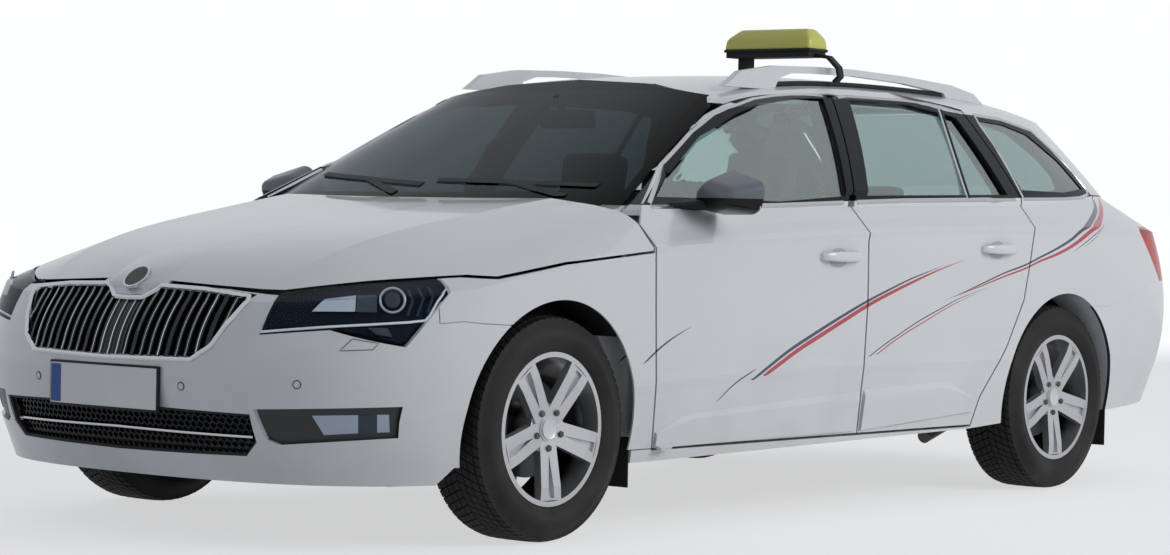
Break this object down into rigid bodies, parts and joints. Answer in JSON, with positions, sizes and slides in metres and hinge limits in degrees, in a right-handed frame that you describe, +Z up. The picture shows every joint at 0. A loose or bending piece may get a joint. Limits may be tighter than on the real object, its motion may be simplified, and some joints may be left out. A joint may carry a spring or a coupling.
{
  "type": "taxi estate car",
  "caption": "Large estate car in taxi dress with a hollow cabin, hinged doors, bonnet and tailgate, steered front wheels, roof rails and a blank roof sign.",
  "frame": {"origin": "on the ground under the middle of the car, halfway along and across its outline", "axes": "+X towards the nose, +Y towards the driver's left side, +Z up"},
  "size_m": [4.8559, 2.1024, 1.6005],
  "materials": {
    "alloy": "satin",
    "black_plastic": "matte",
    "cast_iron": "rough",
    "dark_metal": "satin",
    "glass": "tinted gloss",
    "lamp": "clear gloss",
    "plate": "satin",
    "red_lamp": "clear gloss",
    "seat_cloth": "matte",
    "steel": "satin",
    "tyre": "matte",
    "white_paint": "gloss",
    "yellow_plastic": "satin"
  },
  "bodies": {
    "root": {"body_side_left": "white_paint", "body_side_right": "white_paint", "bumper_grille": "black_plastic", "cowl": "black_plastic", "dashboard": "black_plastic", "engine_block": "cast_iron", "exhaust": "steel", "floor_pan": "white_paint", "fog_lamps": "lamp", "front_aprons": "dark_metal", "front_bumper": "white_paint", "front_plate": "plate", "front_seats": "seat_cloth", "front_subframe": "dark_metal", "front_suspension": "dark_metal", "front_wing_left": "white_paint", "front_wing_right": "white_paint", "grille": "black_plastic", "headlamp_left": "lamp", "headlamp_right": "lamp", "mud_flaps": "black_plastic", "quarter_windows": "glass", "rear_axle": "dark_metal", "rear_bench": "seat_cloth", "rear_bumper": "white_paint", "roof_panel": "white_paint", "roof_rails": "alloy", "sign_bracket": "black_plastic", "steering_wheel": "black_plastic", "tail_lamps": "red_lamp", "taxi_sign": "yellow_plastic", "wheel_housings": "black_plastic", "windscreen": "glass", "wipers": "black_plastic"},
    "door_front_left": {"front_door_left": "white_paint", "front_door_glass_left": "glass", "mirror_left": "white_paint"},
    "door_rear_left": {"rear_door_left": "white_paint", "rear_door_glass_left": "glass"},
    "knuckle_left": {"front_knuckle_left": "dark_metal"},
    "wheel_front_left": {"tyre_front_left": "tyre", "rim_front_left": "alloy"},
    "wheel_rear_left": {"tyre_rear_left": "tyre", "rim_rear_left": "alloy"},
    "door_front_right": {"front_door_right": "white_paint", "front_door_glass_right": "glass", "mirror_right": "white_paint"},
    "door_rear_right": {"rear_door_right": "white_paint", "rear_door_glass_right": "glass"},
    "knuckle_right": {"front_knuckle_right": "dark_metal"},
    "wheel_front_right": {"tyre_front_right": "tyre", "rim_front_right": "alloy"},
    "wheel_rear_right": {"tyre_rear_right": "tyre", "rim_rear_right": "alloy"},
    "bonnet_lid": {"bonnet": "white_paint"},
    "tail_door": {"tailgate": "white_paint", "tailgate_glass": "glass", "rear_plate": "plate", "tailgate_lamps": "red_lamp"}
  },
  "joints": [
    {"name": "steer_left", "type": "hinge", "parent": "root", "child": "knuckle_left", "pos_m": [1.503, 0.735, 0.33], "axis": [0, 0, 1], "range_deg": [-30, 30]},
    {"name": "steer_right", "type": "hinge", "parent": "root", "child": "knuckle_right", "pos_m": [1.503, -0.735, 0.33], "axis": [0, 0, 1], "range_deg": [-30, 30]},
    {"name": "front_wheel_left", "type": "hinge", "parent": "knuckle_left", "child": "wheel_front_left", "pos_m": [1.503, 0.792, 0.33], "axis": [0, 1, 0], "continuous": true},
    {"name": "rear_wheel_left", "type": "hinge", "parent": "root", "child": "wheel_rear_left", "pos_m": [-1.338, 0.786, 0.33], "axis": [0, 1, 0], "continuous": true},
    {"name": "front_wheel_right", "type": "hinge", "parent": "knuckle_right", "child": "wheel_front_right", "pos_m": [1.503, -0.792, 0.33], "axis": [0, 1, 0], "continuous": true},
    {"name": "rear_wheel_right", "type": "hinge", "parent": "root", "child": "wheel_rear_right", "pos_m": [-1.338, -0.786, 0.33], "axis": [0, 1, 0], "continuous": true},
    {"name": "front_door_hinge_left", "type": "hinge", "parent": "root", "child": "door_front_left", "pos_m": [1.20174, 0.894, 0.72], "axis": [0, 0, -1], "range_deg": [0, 55]},
    {"name": "rear_door_hinge_left", "type": "hinge", "parent": "root", "child": "door_rear_left", "pos_m": [0.06534, 0.894, 0.72], "axis": [0, 0, -1], "range_deg": [0, 55]},
    {"name": "front_door_hinge_right", "type": "hinge", "parent": "root", "child": "door_front_right", "pos_m": [1.20174, -0.894, 0.72], "axis": [0, 0, 1], "range_deg": [0, 55]},
    {"name": "rear_door_hinge_right", "type": "hinge", "parent": "root", "child": "door_rear_right", "pos_m": [0.06534, -0.894, 0.72], "axis": [0, 0, 1], "range_deg": [0, 55]},
    {"name": "bonnet_hinge", "type": "hinge", "parent": "root", "child": "bonnet_lid", "pos_m": [1.11293, 0, 0.95294], "axis": [0, -1, 0], "range_deg": [0, 45]},
    {"name": "tailgate_hinge", "type": "hinge", "parent": "root", "child": "tail_door", "pos_m": [-1.47965, 0, 1.37561], "axis": [0, 1, 0], "range_deg": [0, 75]}
  ],
  "couplings": [
    {"joint": "steer_right", "follows": "steer_left", "ratio": 1}
  ]
}
